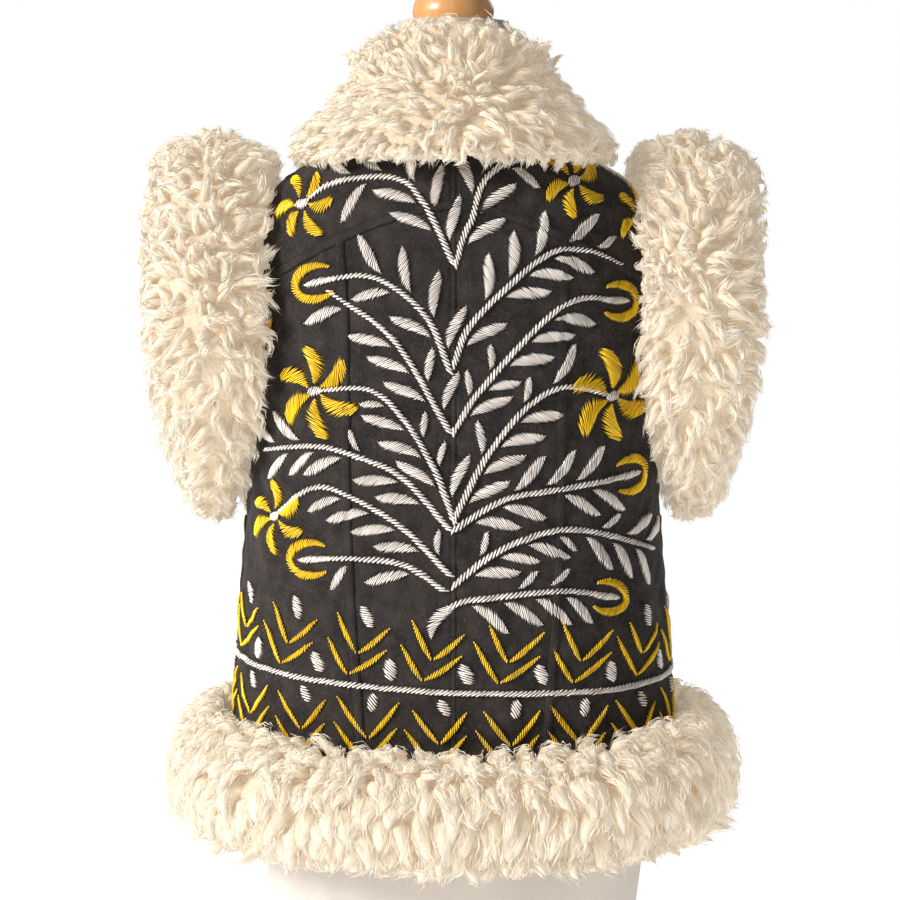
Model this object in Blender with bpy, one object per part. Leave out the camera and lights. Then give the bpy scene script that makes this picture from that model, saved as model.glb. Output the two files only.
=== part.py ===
"""An embroidered folk vest with fleece trim, on the limbless dress form that it rests on.

Metres, +Z up. The vest's back faces -Y, and +X is the wearer's right-hand side.
The origin is the centre of the form's flat underside, which stands on the surface.
Run with: blender --background --python part.py
"""

import math
from collections import namedtuple

import bmesh
import bpy
from mathutils import Vector

# Driving sizes, in metres.
CLOTH = 0.003  # the napped cloth with its backing
SEAM_GAP = 0.0004  # between pieces that are sewn edge to edge
TRIM_GAP = 0.0012  # between a fleece trim and the cloth under it
SLANT_GAP = 0.004  # the same, where a trim crosses the cloth at a slant
HEM_Z = 0.165  # the cloth's lower edge
NECK_Z = 0.790  # the neckline at the back and at the shoulders
FRONT_NECK_Z = 0.722  # the neckline at the centre front
YOKE_Z = 0.708  # the yoke seam at the centre back
YOKE_DROP = 0.0547  # how far that seam falls by YOKE_REACH from the centre
YOKE_REACH = 0.147
YOKE_CURVE = 1.6
UNDERARM_Z = 0.455
SHOULDER_TIP_Z = 0.727
ARMHOLE_BACK = 0.062  # how far the armhole reaches towards the back, then the front
ARMHOLE_FRONT = 0.070

BACK, SIDE, FRONT = -math.pi / 2, 0.0, math.pi / 2

# Level outlines from the surface up: half the width at the sides, how far the outline
# reaches to the back and to the front, and how square it is (2 is an ellipse).
Outline = namedtuple("Outline", "z half_width back front square")
FORM = [
    Outline(0.000, 0.158, 0.106, 0.099, 2.3),
    Outline(0.080, 0.171, 0.117, 0.107, 2.3),
    Outline(0.160, 0.178, 0.124, 0.110, 2.3),
    Outline(0.230, 0.173, 0.119, 0.109, 2.3),
    Outline(0.310, 0.152, 0.101, 0.105, 2.2),
    Outline(0.385, 0.138, 0.090, 0.103, 2.2),
    Outline(0.460, 0.147, 0.095, 0.112, 2.2),
    Outline(0.550, 0.164, 0.105, 0.134, 2.3),
    Outline(0.630, 0.171, 0.107, 0.122, 2.4),
    Outline(0.690, 0.166, 0.102, 0.096, 2.4),
    Outline(0.722, 0.148, 0.092, 0.078, 2.3),
    Outline(0.745, 0.112, 0.080, 0.066, 2.2),
    Outline(0.768, 0.076, 0.066, 0.056, 2.0),
    Outline(0.795, 0.056, 0.054, 0.052, 2.0),
    Outline(0.830, 0.051, 0.050, 0.050, 2.0),
    Outline(0.872, 0.050, 0.050, 0.050, 2.0),
]
VEST = [
    Outline(0.140, 0.206, 0.151, 0.150, 2.4),
    Outline(0.200, 0.204, 0.148, 0.149, 2.4),
    Outline(0.270, 0.200, 0.143, 0.147, 2.4),
    Outline(0.340, 0.195, 0.135, 0.143, 2.4),
    Outline(0.410, 0.189, 0.127, 0.140, 2.4),
    Outline(0.470, 0.186, 0.122, 0.142, 2.4),
    Outline(0.550, 0.183, 0.120, 0.148, 2.4),
    Outline(0.630, 0.182, 0.119, 0.134, 2.4),
    Outline(0.690, 0.176, 0.112, 0.107, 2.4),
    Outline(0.727, 0.158, 0.101, 0.088, 2.4),
    Outline(0.750, 0.121, 0.089, 0.076, 2.3),
    Outline(0.773, 0.085, 0.075, 0.066, 2.1),
    Outline(0.800, 0.065, 0.063, 0.061, 2.0),
    Outline(0.840, 0.060, 0.059, 0.059, 2.0),
]

# The princess seams of the back: how far each stands from the centre seam.
SeamPoint = namedtuple("SeamPoint", "z from_centre")
PRINCESS = [
    SeamPoint(0.140, 0.076),
    SeamPoint(0.250, 0.081),
    SeamPoint(0.370, 0.090),
    SeamPoint(0.480, 0.094),
    SeamPoint(0.600, 0.094),
    SeamPoint(0.720, 0.102),
]

# A fleece trim's section: share of its reach out from the cloth, share of its height.
SectionPoint = namedtuple("SectionPoint", "out up")
HEM_SECTION = [
    SectionPoint(0.00, 0.08),
    SectionPoint(0.14, 0.01),
    SectionPoint(0.45, 0.00),
    SectionPoint(0.78, 0.09),
    SectionPoint(0.98, 0.28),
    SectionPoint(1.00, 0.52),
    SectionPoint(0.84, 0.78),
    SectionPoint(0.52, 0.95),
    SectionPoint(0.20, 1.00),
    SectionPoint(0.00, 0.92),
]
COLLAR_SECTION = [
    SectionPoint(0.00, 0.40),
    SectionPoint(0.40, 0.10),
    SectionPoint(0.76, 0.00),
    SectionPoint(0.94, 0.03),
    SectionPoint(0.98, 0.15),
    SectionPoint(0.68, 0.38),
    SectionPoint(0.35, 0.66),
    SectionPoint(0.17, 0.89),
    SectionPoint(0.09, 0.98),
    SectionPoint(0.03, 1.00),
    SectionPoint(-0.02, 0.84),
    SectionPoint(0.00, 0.60),
]
HEM_LOW, HEM_HIGH, HEM_REACH = 0.147, 0.260, 0.055
HEM_LOW_DIP, HEM_HIGH_DIP = 0.007, 0.018  # how much lower it lies at the back and front
COLLAR_LOW, COLLAR_HIGH = 0.745, 0.876
COLLAR_INSIDE = 0.068
COLLAR = Outline(0.0, 0.151, 0.141, 0.136, 2.1)  # how far the collar reaches all round
COLLAR_DROP = 0.072  # how much lower the collar lies at the front
COLLAR_SIDE_DROP = 0.020  # how much lower its upper rim lies at the sides
OPEN_FRONT = math.radians(6)  # half of the gap between the collar's two ends
HEM_OPEN = math.radians(0.5)  # the same for the hem trim

RING_Z, RING_HALF_HEIGHT = 0.598, 0.140  # the middle line of an armhole trim
RING_Y, RING_HALF_DEPTH = 0.004, 0.078
RING_OUT = 0.214  # its distance from the vest's middle plane
PILE_RADIAL = 0.036
PILE_OUT, PILE_OUT_LOW = 0.058, 0.030  # half its thickness outwards, and at the underarm

KNOB_FOOT_Z, KNOB_FOOT_R = 0.8724, 0.0345
KNOB_Z, KNOB_R, KNOB_H = 0.879, 0.037, 0.031  # where it is widest, and the dome above

CLOTH_COLOUR = (0.042, 0.036, 0.033)
FLEECE_COLOUR = (0.83, 0.69, 0.50)
COVER_COLOUR = (0.72, 0.66, 0.58)
WOOD_COLOUR = (0.74, 0.38, 0.15)


def between(rows, z):
    """The row at height z, with every value on a smooth curve through the table's rows."""
    index = 0
    while index < len(rows) - 2 and rows[index + 1].z < z:
        index += 1
    low, high = rows[index], rows[index + 1]
    before = rows[max(index - 1, 0)]
    after = rows[min(index + 2, len(rows) - 1)]
    span = high.z - low.z
    t = min(max((z - low.z) / span, 0.0), 1.0)
    values = [z]
    for a, b, c, d in list(zip(before, low, high, after))[1:]:
        start = (c - a) / max(high.z - before.z, span) * span
        end = (d - b) / max(after.z - low.z, span) * span
        steepest = 3 * (c - b)
        start = limited(start, steepest)
        end = limited(end, steepest)
        rise = 3 * t**2 - 2 * t**3
        values.append(
            b + (c - b) * rise + start * (t**3 - 2 * t**2 + t) + end * (t**3 - t**2)
        )
    return type(low)(*values)


def limited(slope, steepest):
    """A slope that keeps a curve between its two rows."""
    if slope * steepest <= 0:
        return 0.0
    return math.copysign(min(abs(slope), abs(steepest)), slope)


def on_outline(row, angle):
    """The point of a level outline in a direction: 0 is +X, a quarter turn is +Y."""
    depth = row.front if angle_is_front(angle) else row.back
    power = 2 / row.square
    across, deep = math.cos(angle), math.sin(angle)
    x = math.copysign(abs(across) ** power, across) * row.half_width
    y = math.copysign(abs(deep) ** power, deep) * depth
    return Vector((x, y, row.z))


def angle_is_front(angle):
    return math.sin(angle) > 0


def on_surface(rows, angle, z, out=0.0):
    """A point of the form or the vest, moved out along the surface's own normal."""
    step = 0.0005
    here = on_outline(between(rows, z), angle)
    if out == 0.0:
        return here
    left = on_outline(between(rows, z), angle - step)
    right = on_outline(between(rows, z), angle + step)
    low = on_outline(between(rows, z - step), angle)
    high = on_outline(between(rows, z + step), angle)
    normal = (right - left).cross(high - low)
    return here + normal.normalized() * out


def angle_across(x, z):
    """The direction in which the back of the vest is x to the side, at height z."""
    row = between(VEST, z)
    share = min(abs(x) / row.half_width, 1.0)
    return -math.acos(share ** (row.square / 2))


def angle_deep(y, z):
    """The direction in which the side of the vest is y deep, at height z."""
    row = between(VEST, z)
    depth = row.front if y > 0 else row.back
    share = min(abs(y) / depth, 1.0)
    return math.copysign(math.asin(share ** (row.square / 2)), y)


def yoke_height(x):
    return YOKE_Z - YOKE_DROP * (abs(x) / YOKE_REACH) ** YOKE_CURVE


def yoke_point(angle):
    """Where the yoke seam crosses a direction, found by closing in on its height."""
    z = YOKE_Z
    for _ in range(40):
        z = yoke_height(on_outline(between(VEST, z), angle).x)
    return angle, z


def princess_point(z):
    return angle_across(between(PRINCESS, z).from_centre, z), z


def armhole_point(turn):
    """The armhole's edge: turn 0 is the underarm, +-pi the shoulder tip, + is the front."""
    middle = (UNDERARM_Z + SHOULDER_TIP_Z) / 2
    half = (SHOULDER_TIP_Z - UNDERARM_Z) / 2
    z = middle - half * math.cos(turn)
    reach = ARMHOLE_FRONT if turn > 0 else ARMHOLE_BACK
    y = reach * math.copysign(abs(math.sin(turn)) ** 0.8, turn)
    return angle_deep(y, z), z


def crossing(curve, start, end, below):
    """The value between start and end at which below(curve(value)) changes."""
    for _ in range(50):
        middle = (start + end) / 2
        if below(curve(middle)):
            start = middle
        else:
            end = middle
    return (start + end) / 2


def under_yoke(point):
    angle, z = point
    return z < yoke_height(on_outline(between(VEST, z), angle).x)


PRINCESS_TOP = crossing(princess_point, 0.60, 0.75, under_yoke)
ARMHOLE_AT_YOKE = crossing(armhole_point, -0.5, -math.pi, under_yoke)


def mixed(a, b, t):
    return tuple(p + (q - p) * t for p, q in zip(a, b))


def joined_runs(*runs):
    """One run from several, each given as its share of the whole and a function of 0 to 1."""

    def run(t):
        start = 0.0
        for share, part in runs:
            if t <= start + share + 1e-9:
                return part((t - start) / share)
            start += share
        return runs[-1][1](1.0)

    return run


def straight(a, b):
    return lambda t: mixed(a, b, t)


def patch(bottom, top, left, right):
    """A cloth piece's inside points worked out from its four edges, in angle and height."""
    corners = (bottom(0.0), bottom(1.0), top(0.0), top(1.0))

    def point(across, up):
        upright = mixed(bottom(across), top(across), up)
        level = mixed(left(up), right(up), across)
        low = mixed(corners[0], corners[1], across)
        high = mixed(corners[2], corners[3], across)
        flat = mixed(low, high, up)
        return tuple(u + v - w for u, v, w in zip(upright, level, flat))

    return point


def principled(name, colour, roughness):
    material = bpy.data.materials.new(name)
    material.use_nodes = True
    shader = material.node_tree.nodes["Principled BSDF"]
    shader.inputs["Base Color"].default_value = (*colour, 1.0)
    shader.inputs["Roughness"].default_value = roughness
    shader.inputs["Metallic"].default_value = 0.0
    return material


def finished(name, bm, material):
    """Turns a bmesh into a named object with smooth rounds and sharp rims."""
    bmesh.ops.recalc_face_normals(bm, faces=bm.faces[:])
    mesh = bpy.data.meshes.new(name)
    bm.to_mesh(mesh)
    bm.free()
    mesh.shade_smooth()
    mesh.set_sharp_from_angle(angle=math.radians(50))
    mesh.materials.append(material)
    shape = bpy.data.objects.new(name, mesh)
    bpy.context.collection.objects.link(shape)
    return shape


def grid(columns, rows):
    """A flat grid whose points carry their place as two shares, across and up."""
    bm = bmesh.new()
    across = bm.verts.layers.float.new("across")
    up = bm.verts.layers.float.new("up")
    bmesh.ops.create_grid(bm, x_segments=columns, y_segments=rows, size=0.5)
    for vert in bm.verts:
        vert[across] = round((vert.co.x + 0.5) * columns) / columns
        vert[up] = round((vert.co.y + 0.5) * rows) / rows
    return bm, across, up


def cloth_piece(name, point, columns, rows, side, material):
    """A wall of cloth on the vest's surface. side is 1 for +X and -1 for its mirror image."""
    bm, across, up = grid(columns, rows)
    wall = bmesh.ops.extrude_face_region(bm, geom=bm.faces[:], use_keep_orig=True)
    inner = {item for item in wall["geom"] if isinstance(item, bmesh.types.BMVert)}
    for vert in bm.verts:
        s, t = vert[across], vert[up]
        out = -CLOTH if vert in inner else 0.0
        place = on_surface(VEST, *point(s, t), out)
        if s in (0.0, 1.0):
            inside = point(abs(s - 1 / columns), t)
            place += (on_surface(VEST, *inside, out) - place).normalized() * SEAM_GAP / 2
        if t in (0.0, 1.0):
            inside = point(s, abs(t - 1 / rows))
            place += (on_surface(VEST, *inside, out) - place).normalized() * SEAM_GAP / 2
        vert.co = Vector((place.x * side, place.y, place.z))
    return finished(name, bm, material)


def tube(name, place, around, along, material, side=1, closed=False):
    """A closed solid from sections: place(share along, share around) gives its points."""
    bm, across, up = grid(along, around)
    for vert in bm.verts:
        spot = place(vert[across], vert[up])
        vert.co = Vector((spot.x * side, spot.y, spot.z))
    bmesh.ops.remove_doubles(bm, verts=bm.verts[:], dist=1e-6)
    if not closed:
        rims = [edge for edge in bm.edges if edge.is_boundary]
        bmesh.ops.holes_fill(bm, edges=rims, sides=0)
    return finished(name, bm, material)


def section_at(section, share):
    """The section's point at this share of its corners; the last joins the first."""
    return section[round(share * len(section)) % len(section)]


def raised(spot, gap):
    """A point lifted until it is clear of the vest's surface."""
    lifted = spot.copy()
    while inside_vest(lifted, gap):
        lifted.z += 0.001
    return lifted


def inside_vest(spot, gap):
    row = between(VEST, spot.z)
    depth = row.front if spot.y > 0 else row.back
    across = abs(spot.x) / (row.half_width + gap)
    deep = abs(spot.y) / (depth + gap)
    return across**row.square + deep**row.square < 1.0


def pushed_out(spot, gap):
    """A point moved out level until it is clear of the vest's surface."""
    row = between(VEST, spot.z)
    depth = row.front if spot.y > 0 else row.back
    across = abs(spot.x) / (row.half_width + gap)
    deep = abs(spot.y) / (depth + gap)
    size = (across**row.square + deep**row.square) ** (1 / row.square)
    if size >= 1.0:
        return spot
    return Vector((spot.x / size, spot.y / size, spot.z))


def hem_place(along, around):
    spot = section_at(HEM_SECTION, around)
    turn = FRONT + HEM_OPEN + along * 2 * (math.pi - HEM_OPEN)
    dip = math.sin(turn) ** 2
    low = HEM_LOW - HEM_LOW_DIP * dip
    high = HEM_HIGH - HEM_HIGH_DIP * dip
    z = low + spot.up * (high - low)
    return on_surface(VEST, turn, z, TRIM_GAP + spot.out * HEM_REACH)


def collar_place(along, around):
    spot = section_at(COLLAR_SECTION, around)
    turn = FRONT + OPEN_FRONT + along * 2 * (math.pi - OPEN_FRONT)
    drop = COLLAR_DROP * max(math.sin(turn), 0.0) ** 1.3
    low = COLLAR_LOW - drop
    high = COLLAR_HIGH - 0.8 * drop - COLLAR_SIDE_DROP * math.cos(turn) ** 2
    reach = on_outline(COLLAR, turn)
    inside = COLLAR_INSIDE * reach.normalized()
    place = inside + spot.out * (reach - inside)
    place.z = low + spot.up * (high - low)
    return raised(place, SLANT_GAP)


def armhole_trim_place(along, around):
    turn = along * 2 * math.pi
    up, forward = math.sin(turn), math.cos(turn)
    low_share = max(0.0, (-0.2 - up) / 0.8) ** 1.4
    half_out = PILE_OUT + (PILE_OUT_LOW - PILE_OUT) * low_share
    angle = around * 2 * math.pi
    radial = PILE_RADIAL * math.cos(angle)
    place = Vector(
        (
            RING_OUT + half_out * math.sin(angle),
            RING_Y + (RING_HALF_DEPTH + radial) * forward,
            RING_Z + (RING_HALF_HEIGHT + radial) * up,
        )
    )
    return pushed_out(place, SLANT_GAP)


def form_place(along, around):
    z = FORM[0].z + along * (FORM[-1].z - FORM[0].z)
    return on_outline(between(FORM, z), around * 2 * math.pi)


def make_form(material):
    tube("form_torso", form_place, around=40, along=22, material=material)


def make_knob(material):
    """A low dome with a rounded foot, turned about the upright axis from its outline."""
    outline = [Vector((0.0, 0.0, KNOB_FOOT_Z)), Vector((KNOB_FOOT_R, 0.0, KNOB_FOOT_Z))]
    steps = 9
    for step in range(steps + 1):
        lift = math.pi / 2 * step / steps
        radius = KNOB_R * math.cos(lift)
        outline.append(Vector((radius, 0.0, KNOB_Z + KNOB_H * math.sin(lift))))
    bm = bmesh.new()
    verts = [bm.verts.new(spot) for spot in outline]
    edges = [bm.edges.new(pair) for pair in zip(verts, verts[1:])]
    bmesh.ops.spin(
        bm,
        geom=verts + edges,
        cent=(0, 0, 0),
        axis=(0, 0, 1),
        angle=2 * math.pi,
        steps=28,
        use_merge=True,
    )
    bmesh.ops.remove_doubles(bm, verts=bm.verts[:], dist=1e-5)
    finished("neck_knob", bm, material)


def make_cloth(material):
    hem_back, hem_side = (BACK, HEM_Z), (SIDE, HEM_Z)
    hem_princess = princess_point(HEM_Z)
    underarm, shoulder_tip = (SIDE, UNDERARM_Z), (SIDE, SHOULDER_TIP_Z)
    neck_back, neck_side = (BACK, NECK_Z), (SIDE, NECK_Z)
    princess_top = princess_point(PRINCESS_TOP)
    armhole_top = armhole_point(ARMHOLE_AT_YOKE)

    def yoke_run(start, end):
        return lambda t: yoke_point(start + (end - start) * t)

    def armhole_run(start, end):
        return lambda t: armhole_point(start + (end - start) * t)

    centre_yoke = yoke_run(BACK, princess_top[0])
    side_yoke = yoke_run(princess_top[0], armhole_top[0])

    def princess(t):
        return princess_point(HEM_Z + (PRINCESS_TOP - HEM_Z) * t)

    centre_back = patch(
        straight(hem_back, hem_princess),
        centre_yoke,
        straight(hem_back, centre_yoke(0.0)),
        princess,
    )
    side_back = patch(
        straight(hem_princess, hem_side),
        side_yoke,
        princess,
        joined_runs(
            (0.52, straight(hem_side, underarm)),
            (0.48, armhole_run(0.0, ARMHOLE_AT_YOKE)),
        ),
    )
    back_yoke = patch(
        joined_runs((0.5, centre_yoke), (0.5, side_yoke)),
        joined_runs(
            (0.5, straight(neck_back, neck_side)),
            (0.5, straight(neck_side, shoulder_tip)),
        ),
        straight(centre_yoke(0.0), neck_back),
        armhole_run(ARMHOLE_AT_YOKE, -math.pi * 0.9999),
    )
    front = patch(
        straight(hem_side, (FRONT, HEM_Z)),
        lambda t: (FRONT * t, NECK_Z + (FRONT_NECK_Z - NECK_Z) * t**1.5),
        joined_runs(
            (0.44, straight(hem_side, underarm)),
            (0.44, armhole_run(0.0, math.pi * 0.9999)),
            (0.12, straight(shoulder_tip, neck_side)),
        ),
        straight((FRONT, HEM_Z), (FRONT, FRONT_NECK_Z)),
    )
    for side, word in ((-1, "left"), (1, "right")):
        cloth_piece(f"centre_back_{word}", centre_back, 6, 22, side, material)
        cloth_piece(f"side_back_{word}", side_back, 8, 25, side, material)
        cloth_piece(f"back_yoke_{word}", back_yoke, 14, 7, side, material)
        cloth_piece(f"front_{word}", front, 13, 25, side, material)


def make_trims(material):
    tube("fleece_hem", hem_place, len(HEM_SECTION), 44, material)
    tube("fleece_collar", collar_place, len(COLLAR_SECTION), 34, material)
    for side, word in ((-1, "left"), (1, "right")):
        tube(
            f"fleece_armhole_{word}",
            armhole_trim_place,
            around=10,
            along=28,
            material=material,
            side=side,
            closed=True,
        )


def main():
    for shape in list(bpy.data.objects):
        bpy.data.objects.remove(shape, do_unlink=True)
    make_form(principled("form_cover", COVER_COLOUR, 0.85))
    make_knob(principled("turned_wood", WOOD_COLOUR, 0.35))
    make_cloth(principled("napped_cloth", CLOTH_COLOUR, 0.95))
    make_trims(principled("fleece", FLEECE_COLOUR, 0.95))


main()
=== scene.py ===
# %% [markdown]
# # An embroidered folk vest with fleece trim, on its dress form
#
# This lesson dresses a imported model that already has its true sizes: eight cloth pieces,
# four fleece trims, a covered torso form and a turned wooden knob. Each part below takes
# its place from that model and gets the surface that the real one has.

import math
from collections import namedtuple

import bmesh
import bpy
import numpy as np
from mathutils import Matrix, Vector
from mathutils.bvhtree import BVHTree
from mathutils.kdtree import KDTree


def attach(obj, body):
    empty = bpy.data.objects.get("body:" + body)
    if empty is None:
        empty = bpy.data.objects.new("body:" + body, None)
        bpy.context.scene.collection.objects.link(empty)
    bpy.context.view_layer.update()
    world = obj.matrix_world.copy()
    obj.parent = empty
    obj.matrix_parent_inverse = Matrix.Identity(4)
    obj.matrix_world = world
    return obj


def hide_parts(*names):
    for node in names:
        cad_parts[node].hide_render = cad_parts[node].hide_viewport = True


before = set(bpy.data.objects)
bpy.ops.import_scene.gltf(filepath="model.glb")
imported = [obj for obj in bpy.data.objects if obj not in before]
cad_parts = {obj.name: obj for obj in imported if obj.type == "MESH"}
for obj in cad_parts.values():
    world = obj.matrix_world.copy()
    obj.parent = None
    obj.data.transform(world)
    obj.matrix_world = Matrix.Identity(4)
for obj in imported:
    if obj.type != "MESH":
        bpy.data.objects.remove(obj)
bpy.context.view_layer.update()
SCENE = bpy.context.scene


def linked(name, data):
    """A new object in the scene that holds data."""
    made = bpy.data.objects.new(name, data)
    SCENE.collection.objects.link(made)
    return made


# %% [markdown]
# ## The camera
#
# A long lens from two metres away keeps the vest's proportions. It stands behind the
# vest, a little above its middle, and looks slightly down.

# %% Camera
LOOK_DOWN = math.radians(5.5)
DISTANCE = 2.2
AIM = Vector((-0.003, 0.0, 0.487))
HALF_VIEW = 0.4095
SENSOR = 36.0

camera = linked("camera", bpy.data.cameras.new("camera"))
camera.data.sensor_width = SENSOR
camera.data.lens = SENSOR / 2 * DISTANCE / HALF_VIEW
camera.location = AIM + DISTANCE * Vector((0, -math.cos(LOOK_DOWN), math.sin(LOOK_DOWN)))
camera.rotation_euler = (math.pi / 2 - LOOK_DOWN, 0, 0)
SCENE.camera = camera
print("camera: lens", round(camera.data.lens, 1), "mm")

# %% [markdown]
# ## Shader maths in plain Python
#
# A material's pattern is arithmetic on noise. A small class wraps a node's output, so
# that `a * 0.3 + b` adds the Math nodes, and one method makes every other node.


# %% A link that does maths
class Link:
    """A node's output. Arithmetic on it adds Math nodes."""

    def __init__(self, paint, socket):
        self.paint = paint
        self.socket = socket

    def maths(self, operation, first, second):
        values = {0: first, 1: second}
        return self.paint.node("ShaderNodeMath", {"operation": operation}, values)

    def __add__(self, other):
        return self.maths("ADD", self, other)

    def __rsub__(self, other):
        return self.maths("SUBTRACT", other, self)

    def __mul__(self, other):
        return self.maths("MULTIPLY", self, other)


# %% A material under construction
class Paint:
    """A material, the nodes that pattern it and the shader that they feed."""

    def __init__(self, name, roughness=0.8, **constants):
        self.material = bpy.data.materials.new(name)
        self.material.use_nodes = True
        self.tree = self.material.node_tree
        self.shader = self.tree.nodes["Principled BSDF"]
        self.set("Roughness", roughness)
        for socket, value in constants.items():
            self.set(socket.replace("_", " "), value)

    def set(self, socket, value):
        self.feed(self.shader.inputs[socket], value)

    def feed(self, socket, value):
        if isinstance(value, Link):
            self.tree.links.new(value.socket, socket)
        else:
            socket.default_value = value

    def node(self, kind, settings=None, values=None, output=0):
        made = self.tree.nodes.new(kind)
        for name, value in (settings or {}).items():
            setattr(made, name, value)
        for key, value in (values or {}).items():
            self.feed(made.inputs[key], value)
        return Link(self, made.outputs[output])

    def place(self, stretch=(1, 1, 1)):
        """The piece's own coordinates, squeezed by stretch along each axis."""
        own = self.node("ShaderNodeTexCoord", output="Object")
        return self.node("ShaderNodeMapping", values={"Vector": own, "Scale": stretch})

    def noise(self, scale, detail=2.0, rough=0.5, stretch=(1, 1, 1)):
        values = {"Vector": self.place(stretch), "Scale": scale, "Detail": detail}
        values["Roughness"] = rough
        return self.node("ShaderNodeTexNoise", {"noise_dimensions": "3D"}, values)

    def attribute(self, name):
        return self.node("ShaderNodeAttribute", {"attribute_name": name}, output="Fac")

    def between(self, low, high, value):
        """value's stretch from low to high as 0 to 1."""
        values = {"Value": value, "From Min": low, "From Max": high}
        return self.node("ShaderNodeMapRange", {"clamp": True}, values)

    def mix(self, share, first, second):
        values = {0: share, 6: as_colour(first), 7: as_colour(second)}
        return self.node("ShaderNodeMix", {"data_type": "RGBA"}, values, output=2)

    def shade(self, colour, tone):
        """colour made lighter or darker by tone, which is 1 where it stays."""
        grey = self.node("ShaderNodeCombineColor", values={0: tone, 1: tone, 2: tone})
        settings = {"data_type": "RGBA", "blend_type": "MULTIPLY"}
        values = {0: 1.0, 6: as_colour(colour), 7: grey}
        return self.node("ShaderNodeMix", settings, values, output=2)

    def bump(self, height, distance, strength=1.0):
        values = {"Height": height, "Distance": distance, "Strength": strength}
        self.set("Normal", self.node("ShaderNodeBump", values=values))


def as_colour(value):
    """A linear colour with its alpha, or a link left as it is."""
    return value if isinstance(value, Link) else (*value, 1.0)


# %% [markdown]
# ## The finishes
#
# Felted charcoal cloth scatters light off a fine raised nap and is never one even black.
# The threads and the fleece carry their tone as attributes on the mesh, one value for
# each thread or lock, because real ones differ a little from each other.


# %% Napped cloth
def napped_cloth():
    paint = Paint("napped_cloth", 0.95, Sheen_Weight=0.05, Sheen_Roughness=0.35)
    cloudy = paint.noise(42, 4.0, 0.62)
    worn = paint.between(0.50, 0.72, paint.noise(150, 3.0, 0.7))
    hairs = paint.between(0.56, 0.74, paint.noise(760, 2.0, 0.6, (1.0, 1.0, 0.4)))
    crossed = paint.between(0.58, 0.76, paint.noise(700, 2.0, 0.6, (0.35, 0.35, 1.0)))
    light = paint.between(0.38, 0.72, cloudy) * 0.38 + worn * 0.16 + hairs * 0.62 + crossed * 0.58
    colour = paint.mix(light, (0.0075, 0.0052, 0.0047), (0.078, 0.063, 0.056))
    # painted shade: the cloth is darkened along the seams' rims and stitch rows, where shade
    # falls
    paint.set("Base Color", paint.shade(colour, 1 - paint.attribute("painted_seam_shade") * 0.75))
    paint.bump(hairs * 0.5 + crossed * 0.5 + cloudy * 1.2, 0.0011, 1.0)
    return paint.material


# %% Embroidery thread
def thread(name, colour, deep):
    """Glossy twisted thread, with painted shade along its foot where it meets its neighbours.

    tone is a thread's own lightness, and top is 1 along its top and 0 at its foot.
    """
    paint = Paint(name, 0.42, Sheen_Weight=0.1)
    tone = paint.attribute("tone")
    top = paint.between(0.12, 0.66, paint.attribute("top"))
    twist = paint.noise(1500, 1.0, 0.5)
    lightness = tone * 0.34 + twist * 0.16 + 0.82
    # painted shade: the foot of each thread takes the shade colour and its top the thread's own
    # colour
    paint.set("Base Color", paint.shade(paint.mix(top, deep, colour), lightness))
    paint.bump(twist, 0.00025, 0.5)
    return paint.material


# %% Fleece
# painted light: the fleece glows in its own colour by this much, standing for the light that
# passes from fibre to fibre
PILE_GLOW = 0.35  # stands for the light that passes from fibre to fibre in the pile


def fleece():
    """Cream wool: warmer and darker at the roots, partly the wool's own colour and partly painted
    shade deep in the pile, paler at the tips, each lock of its own tone.

    grain is a place inside a lock, pressed together along it, so that noise read there
    is drawn out into fibres.
    """
    paint = Paint("fleece", 0.8, Sheen_Weight=0.3, Sheen_Roughness=0.35)
    along = paint.attribute("along")
    tone = paint.attribute("tone")
    grain = paint.node("ShaderNodeAttribute", {"attribute_name": "grain"}, output=1)
    drawn_out = {"Vector": grain, "Scale": 620.0, "Detail": 2.0, "Roughness": 0.65}
    fibres = paint.node("ShaderNodeTexNoise", {"noise_dimensions": "3D"}, drawn_out)
    streaks = paint.between(0.34, 0.66, fibres)
    patches = paint.noise(45, 2.0, 0.5)
    # the roots' darker, warmer colour is partly the wool's own and partly painted shade in the
    # pile
    pale = paint.between(0.0, 0.85, along * 0.9 + patches * 0.2)
    colour = paint.mix(pale, (0.81, 0.64, 0.445), (0.97, 0.875, 0.72))
    lightness = tone * 0.13 + patches * 0.05 + streaks * 0.18 + 0.60
    shaded = paint.shade(colour, lightness)
    paint.set("Base Color", shaded)
    # painted light: the wool glows in its own colour, which lifts its shaded side and its hollows
    paint.set("Emission Color", shaded)
    paint.set("Emission Strength", PILE_GLOW)
    paint.bump(fibres, 0.0012, 1.0)
    return paint.material


# %% Form cover
def form_cover():
    """Fine off-white cotton, drawn tight: a barely seen weave of crossing threads."""
    paint = Paint("form_cover", 0.88, Sheen_Weight=0.15)
    upright = paint.noise(700, 1.0, 0.5, (1.0, 1.0, 0.12))
    level = paint.noise(700, 1.0, 0.5, (0.12, 0.12, 1.0))
    cloudy = paint.noise(14, 2.0, 0.5)
    weave = upright * 0.5 + level * 0.5
    light = paint.between(0.3, 0.7, cloudy * 0.5 + weave * 0.5)
    paint.set("Base Color", paint.mix(light, (0.56, 0.505, 0.455), (0.655, 0.60, 0.545)))
    paint.bump(weave, 0.0005, 0.6)
    return paint.material


# %% Turned wood
def turned_wood():
    """Pale varnished wood whose grain runs up through the ball."""
    paint = Paint("turned_wood", 0.4, Coat_Weight=0.6, Coat_Roughness=0.18)
    rings = paint.noise(38, 3.0, 0.6, (1.0, 1.0, 0.22))
    pores = paint.noise(520, 2.0, 0.6, (1.0, 1.0, 0.08))
    grain = paint.between(0.3, 0.7, rings * 0.75 + pores * 0.25)
    paint.set("Base Color", paint.mix(grain, (0.62, 0.27, 0.085), (0.86, 0.47, 0.19)))
    paint.bump(pores, 0.0002, 0.3)
    return paint.material


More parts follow.
